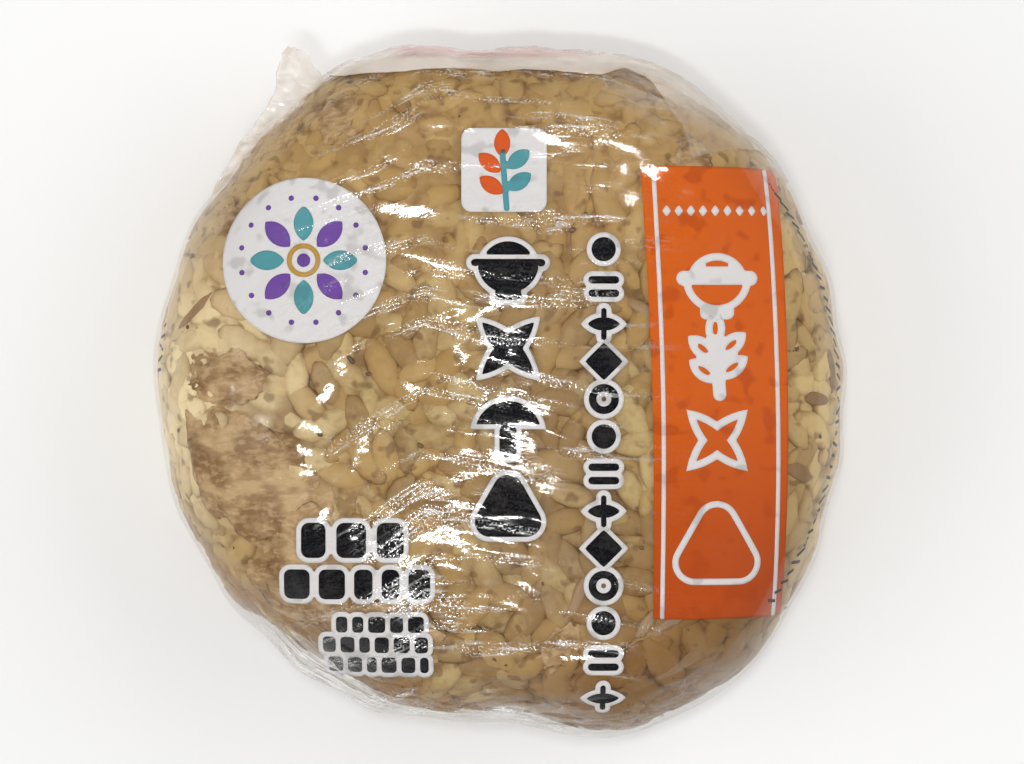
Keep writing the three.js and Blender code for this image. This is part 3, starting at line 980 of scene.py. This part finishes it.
def bowl(x, y):
    body = max(disc(x, y - 1.2, 3.4), y - 0.9)
    rim = bar(x, y, -3.7, 1.2, 3.7, 1.2, 0.42)
    foot = block(x, y + 2.5, 3.0, 0.9, 0.3)
    heap = max(disc(x, y - 0.6, 3.0), 2.1 - y)
    return min(body, rim, foot, heap)


leftLeaves = [(-1.6, 1.2, 50), (-1.4, -1.3, 55), (-0.2, 3.4, 0)]  # x, y, turn in degrees
rightLeaves = [(1.6, 1.6, -50), (1.7, -0.9, -55)]


def leaves(x, y, places, width):
    return min(lens(*turned(x - dx, y - dy, turn), 3.2, width) for dx, dy, turn in places)


def stem(x, y):
    return bar(x, y, 0.3, -3.9, -0.2, 2.6, 0.32)


def sprig(x, y):
    return min(stem(x, y), leaves(x, y, leftLeaves + rightLeaves, 1.4))


def mushroom(x, y):
    cap = max(disc(x, y + 0.9, 3.7), -y + 0.2)
    stalk = block(x, y + 1.7, 1.9, 3.6, 0.7)
    return min(cap, stalk)


def crossedLeaves(x, y):
    return min(lens(*turned(x, y, 45), 8.2, 2.4), lens(*turned(x, y, -45), 8.2, 2.4), disc(x, y, 1.5))


def roundTriangle(x, y):
    corners = [(-2.0, -1.6), (2.0, -1.6), (0.0, 1.9)]
    edges = [segmentDistance(x, y, *corners[i], *corners[(i + 1) % 3])[0] for i in range(3)]
    inside = y > -1.6 and abs(x) * 3.5 + y * 2.0 < 3.8
    return (-1 if inside else 1) * min(edges) - 1.7


def ring(x, y, radius, half):
    return abs(math.hypot(x, y) - radius) - half


def lozenge(x, y, width, height):
    return (abs(x) / width + abs(y) / height - 0.5) * min(width, height) * 0.8


def petal(x, y, degrees):  # one of a flower, beside its middle
    x, y = turned(x, y, degrees)
    return lens(x, y - 4.1, 3.9, 2.2)


smallMotifs = [
    lambda x, y: disc(x, y, 1.35),
    lambda x, y: lozenge(x, y, 4.2, 4.2),
    lambda x, y: min(bar(x, y, -1.3, 0.75, 1.3, 0.75, 0.42), bar(x, y, -1.3, -0.75, 1.3, -0.75, 0.42)),
    lambda x, y: ring(x, y, 1.25, 0.42),
    lambda x, y: min(lens(*turned(x, y, 90), 3.7, 1.5), bar(x, y, 0, -1.5, 0, 1.5, 0.3)),
]

printValues = {
    "cell": 0.22,           # size of the faces that the shapes are cut from
    "step": 0.02,           # over which the slope at their edge is measured
    "halo": 0.55,           # white edge round the black shapes
    "thickness": 0.012 * mm,
    "levels": {"orange": 0.11 * mm, "white": 0.085 * mm, "violet": 0.06 * mm, "teal": 0.06 * mm,
               "bright orange": 0.06 * mm, "gold": 0.05 * mm, "black": 0.055 * mm},
    "badge": (0.74, 24.84, 9.5, 9.4, 1.2),
    "seal": (-21.5, 14.8, 9.2),
    "bigColumn": (1.2, [13.3, 5.0, -3.6, -12.6]),
    "smallColumn": (11.8, 16.0, -4.15, 13),     # x, first y, step, count
    "band": (24.2, 25.3, -25.1, 15.2, 2.0),     # middle x, top, bottom, width, lean of the middle
    "bandColumn": (24.4, [11.6, 3.8, -5.2, -16.8]),
    "bandLine": (1.2, 0.24),                    # distance from the band's edge, half width
    # first direction and step in degrees, distance, count
    "rimTicks": [(37, -1.9, 38.4, 40), (176, -1.9, 38.2, 5)],
    # middle, width, height
    "rows": [(-15.3, -16.3, 13.0, 4.6), (-15.6, -21.2, 16.3, 3.9), (-12.9, -25.7, 10.1, 2.1),
             (-13.6, -28.0, 11.8, 2.1), (-13.3, -30.3, 11.3, 2.1)],
}


def greekedRow(width, height, draw):  # a row of plain blocks of uneven width
    blocks = []
    x = -width / 2
    while x < width / 2 - 0.4 * height:
        end = min(x + draw.uniform(0.5, 0.9) * height, width / 2)
        blocks.append(((x + end) / 2, end - x))
        x = end + 0.26 * height
    return lambda px, py: min(block(px - at, py, wide, 0.85 * height, 0.19 * height) for at, wide in blocks)


def bandEdge(x, y):  # and the distance to the band's middle line
    middle, top, bottom, width, lean = printValues["band"]
    along = (y - bottom) / (top - bottom)
    dx = x - (middle + lean * (0.5 - along) * 0.5 + 0.6 * math.sin(math.pi * along))
    edge = block(dx, y - (top + bottom) / 2, width - 0.8 * (1 - along) + 0.4, top - bottom, 0.15)
    rim = math.hypot(x, y) - 0.975 * outlineRadius(math.atan2(y, x)) / mm
    return max(edge, rim), dx


def inkShapes():
    shapes = {ink: [] for ink in printValues["levels"]}

    def add(ink, x, y, half, shape, upright=False):
        shapes[ink].append((x, y, half, shape, upright))

    def addHaloed(x, y, half, shape, upright=False):
        halo = printValues["halo"]
        add("white", x, y, half + halo + 0.3, lambda px, py: shape(px, py) - halo, upright)
        add("black", x, y, half, shape, upright)

    x, y, *badge = printValues["badge"]
    add("white", x, y, 5.5, lambda px, py: block(px, py, *badge))
    add("teal", x, y, 4.6, lambda px, py: min(stem(px, py + 0.4), leaves(px, py + 0.4, rightLeaves, 1.8)))
    add("bright orange", x, y, 4.6, lambda px, py: leaves(px, py + 0.4, leftLeaves, 1.8))

    x, y, sealRadius = printValues["seal"]
    add("white", x, y, sealRadius + 0.5, lambda px, py: disc(px, py, sealRadius))
    for k in range(8):
        add("violet" if k % 2 else "teal", x, y, 7.0, lambda px, py, t=45 * k: petal(px, py, t))
    for k in range(16):
        turn = 2 * math.pi * (k + 0.5) / 16
        dx, dy = 7.0 * math.cos(turn), 7.0 * math.sin(turn)
        add("violet", x + dx, y + dy, 0.7, lambda px, py: disc(px, py, 0.32))
    add("gold", x, y, 2.4, lambda px, py: ring(px, py, 1.6, 0.28))
    add("violet", x, y, 1.2, lambda px, py: disc(px, py, 0.75))

    x, heights = printValues["bigColumn"]
    for y, shape in zip(heights, (bowl, crossedLeaves, mushroom, roundTriangle)):
        addHaloed(x, y, 4.6, shape)
    x, first, step, count = printValues["smallColumn"]
    for k in range(count):
        addHaloed(x, first + step * k, 2.3, smallMotifs[(2 * k) % 5])
    draw = random.Random(3)
    for x, y, rowWidth, rowHeight in printValues["rows"]:
        addHaloed(x, y, rowWidth / 2 + 0.6, greekedRow(rowWidth, rowHeight, draw), True)

    for first, step, away, count in printValues["rimTicks"]:
        for k in range(count):
            turn = math.radians(first + step * k)
            half, slant = draw.uniform(0.3, 0.75), draw.uniform(-0.35, 0.35)
            add("black", away * math.cos(turn), away * math.sin(turn), 1.3,
                lambda px, py, h=half, s=slant: bar(px, py, -h, s, h, -s, 0.19))

    middle, top, bottom, width, _ = printValues["band"]
    centre, half = (top + bottom) / 2, (top - bottom) / 2 + 1
    inset, lineHalf = printValues["bandLine"]

    def bandLines(px, py):
        edge, dx = bandEdge(px + middle, py + centre)
        return max(edge, abs(abs(dx) - width / 2 + inset) - lineHalf)

    add("orange", middle, centre, half, lambda px, py: bandEdge(px + middle, py + centre)[0], True)
    add("white", middle, centre, half, bandLines, True)
    x, (*heights, lowest) = printValues["bandColumn"]
    for y, shape in zip(heights, (bowl, sprig, crossedLeaves)):
        add("white", x, y, 4.8, lambda px, py, f=shape: abs(f(px, py)) - 0.42)
    add("white", x, lowest, 5.6, lambda px, py: abs(roundTriangle(px * 0.8, py * 0.8) / 0.8) - 0.35)
    for k in range(9):
        add("white", middle + 1.35 * (k - 4), 20.3, 0.9, lambda px, py: lozenge(px, py, 0.95, 1.5))
    return shapes


def onFilm(x, y):  # the film under a place on the face, or beside it past the outline
    hit, normal, _, _ = filmTree.ray_cast(Vector((x, y, 2 * packShape["height"])), Vector((0, 0, -1)))
    if not hit:
        hit, normal, _, _ = filmTree.find_nearest(Vector((x, y, packShape["height"] / 2)))
    return hit, normal


def layShape(x, y):  # a frame that touches the rice's skin, so that a shape near the rim isn't stretched
    place, normal = onSkin(x, y)
    right = (Vector((1, 0, 0)) - normal * normal.x).normalized()
    return place, Matrix((right, normal.cross(right), normal)).transposed()


def inkMesh(name, shapes, level):
    cell, step = printValues["cell"], printValues["step"]
    bm = bmesh.new()
    for cx, cy, half, shape, upright in shapes:
        steps = max(int(2 * half / cell), 4)
        made = bmesh.ops.create_grid(bm, x_segments=steps, y_segments=steps, size=half)["verts"]
        away = {vert: shape(vert.co.x, vert.co.y) for vert in made}
        bmesh.ops.delete(bm, geom=[vert for vert in made if away[vert] > 0.5 * cell], context="VERTS")
        kept = [vert for vert in made if vert.is_valid]
        loose = [vert for vert in kept if not vert.link_faces]
        bmesh.ops.delete(bm, geom=loose, context="VERTS")
        laid = None if upright else layShape(cx * mm, cy * mm)
        for vert in [vert for vert in kept if vert.is_valid]:
            x, y = vert.co.x, vert.co.y
            if vert.is_boundary:
                slope = Vector((shape(x + step, y) - shape(x - step, y),
                                shape(x, y + step) - shape(x, y - step)))
                if slope.length > 1e-5:
                    move = -away[vert] * slope.normalized()
                    x, y = x + move.x, y + move.y
            if upright:
                hit, normal = onFilm((x + cx) * mm, (y + cy) * mm)
            else:
                place, turn = laid
                out = turn.col[2]
                spot = place + turn @ Vector((x, y, 0)) * mm
                hit, normal, _, _ = filmTree.ray_cast(spot + out * 6 * mm, -out)
            vert.co = hit - normal * level
    return smoothMesh(bm, name)


def inkMaterial(name, ink, dim, shineThrough, lowShade):
    paint = Paint(name)
    # painted shade: the ink darkens towards the lower edge of the face
    low = paint.axes()[1].ramp(4 * mm, -22 * mm)
    wet = paint.noise(2.6 * mm, 1.5).ramp(0.56, 0.66)
    faint = paint.noise(1.3 * mm, 3.0)
    base = paint.mix(wet * shineThrough, ink, dim)
    base = paint.mix((faint * 0.12 + low * lowShade).limited(), base, dim)
    return paint.finish(paint.surface({
        "Base Color": base, "Roughness": 0.5 + faint * 0.15, "Specular IOR Level": 0.0,
    }))


# colour, colour where wet rice touches the film behind it, share of that, and share of painted shade
# towards the lower edge
inks = {
    "white": ((0.74, 0.725, 0.73), (0.49, 0.475, 0.465), 0.7, 0.1),
    "black": ((0.004, 0.004, 0.006), (0.03, 0.027, 0.026), 0.4, 0.0),
    "orange": ((0.67, 0.125, 0.008), (0.42, 0.055, 0.003), 0.5, 0.7),
    "bright orange": ((0.70, 0.11, 0.02), (0.5, 0.07, 0.012), 0.4, 0.0),
    "violet": ((0.17, 0.075, 0.36), (0.12, 0.06, 0.24), 0.5, 0.0),
    "teal": ((0.09, 0.33, 0.37), (0.07, 0.22, 0.25), 0.5, 0.0),
    "gold": ((0.52, 0.31, 0.07), (0.33, 0.2, 0.05), 0.5, 0.0),
}

print("print: fields and shapes")
for ink, shapes in inkShapes().items():
    name = "print_" + ink.replace(" ", "_")
    mesh = inkMesh(name, shapes, printValues["levels"][ink])
    piece = addPiece(name, mesh, inkMaterial(ink + " ink", *inks[ink]), ink.split()[-1] + "_ink")
    addThickness(piece, printValues["thickness"])


# Floor, light and camera

stageValues = {
    "floorSize": 3.0, "floorColour": (0.97, 0.97, 0.97), "floorShade": (0.94, 0.94, 0.94),
    "worldLight": 0.32,
    "camera": (1.63 * mm, 1.28 * mm, 400 * mm),
    "pixelsPerMm": 8.6, "atHeight": 17 * mm,  # scale of the picture at the height of the outline
    "pictureWidth": 1024,
    "lampAim": (0, 0, 20 * mm),
    # name, width, depth, power and place of each lamp, and whether the film mirrors it
    "lamps": [("upper key", 0.07, 0.02, 0.9, (-0.02, 0.06, 0.69), True),
              ("lower key", 0.06, 0.02, 0.85, (-0.02, -0.085, 0.69), True),
              ("left soft", 1.0, 1.0, 4.1, (-0.80, -0.25, 0.6), False),
              ("right soft", 1.0, 1.0, 4.1, (0.75, 0.35, 0.65), False)],
}


def addFloor():
    bm = bmesh.new()
    bmesh.ops.create_grid(bm, x_segments=8, y_segments=8, size=stageValues["floorSize"] / 2)
    paint = Paint("pale floor")
    shade = paint.noise(60 * mm, 2.0)
    base = paint.mix(shade, stageValues["floorColour"], stageValues["floorShade"])
    mesh = smoothMesh(bm, "floor")
    mesh.materials.append(paint.finish(paint.surface({"Base Color": base, "Roughness": 0.8})))
    floor = bpy.data.objects.new("floor", mesh)
    bpy.context.scene.collection.objects.link(floor)


def addLight(name, width, depth, power, place, mirrored):
    light = bpy.data.lights.new(name, "AREA")
    light.shape = "RECTANGLE"
    light.size, light.size_y = width, depth
    light.energy = power
    lamp = bpy.data.objects.new(name, light)
    lamp.location = place
    aim = Vector(place) - Vector(stageValues["lampAim"])
    lamp.rotation_euler = aim.to_track_quat("Z", "Y").to_euler()
    lamp.visible_glossy = mirrored
    bpy.context.scene.collection.objects.link(lamp)


def addWorld():
    world = bpy.data.worlds.new("studio")
    world.use_nodes = True
    world.node_tree.nodes["Background"].inputs["Color"].default_value = (1.0, 1.0, 1.0, 1.0)
    world.node_tree.nodes["Background"].inputs["Strength"].default_value = stageValues["worldLight"]
    bpy.context.scene.world = world


def addCamera():
    camera = bpy.data.cameras.new("camera")
    away = stageValues["camera"][2] - stageValues["atHeight"]
    seen = stageValues["pictureWidth"] / stageValues["pixelsPerMm"] * mm
    camera.sensor_width = 36.0
    camera.lens = camera.sensor_width * away / seen
    camera.clip_start = 0.01
    eye = bpy.data.objects.new("camera", camera)
    eye.location = stageValues["camera"]
    bpy.context.scene.collection.objects.link(eye)
    bpy.context.scene.camera = eye


print("stage: floor, light and camera")
addFloor()
addWorld()
for lamp in stageValues["lamps"]:
    addLight(*lamp)
addCamera()
bpy.context.scene.view_settings.view_transform = "Standard"
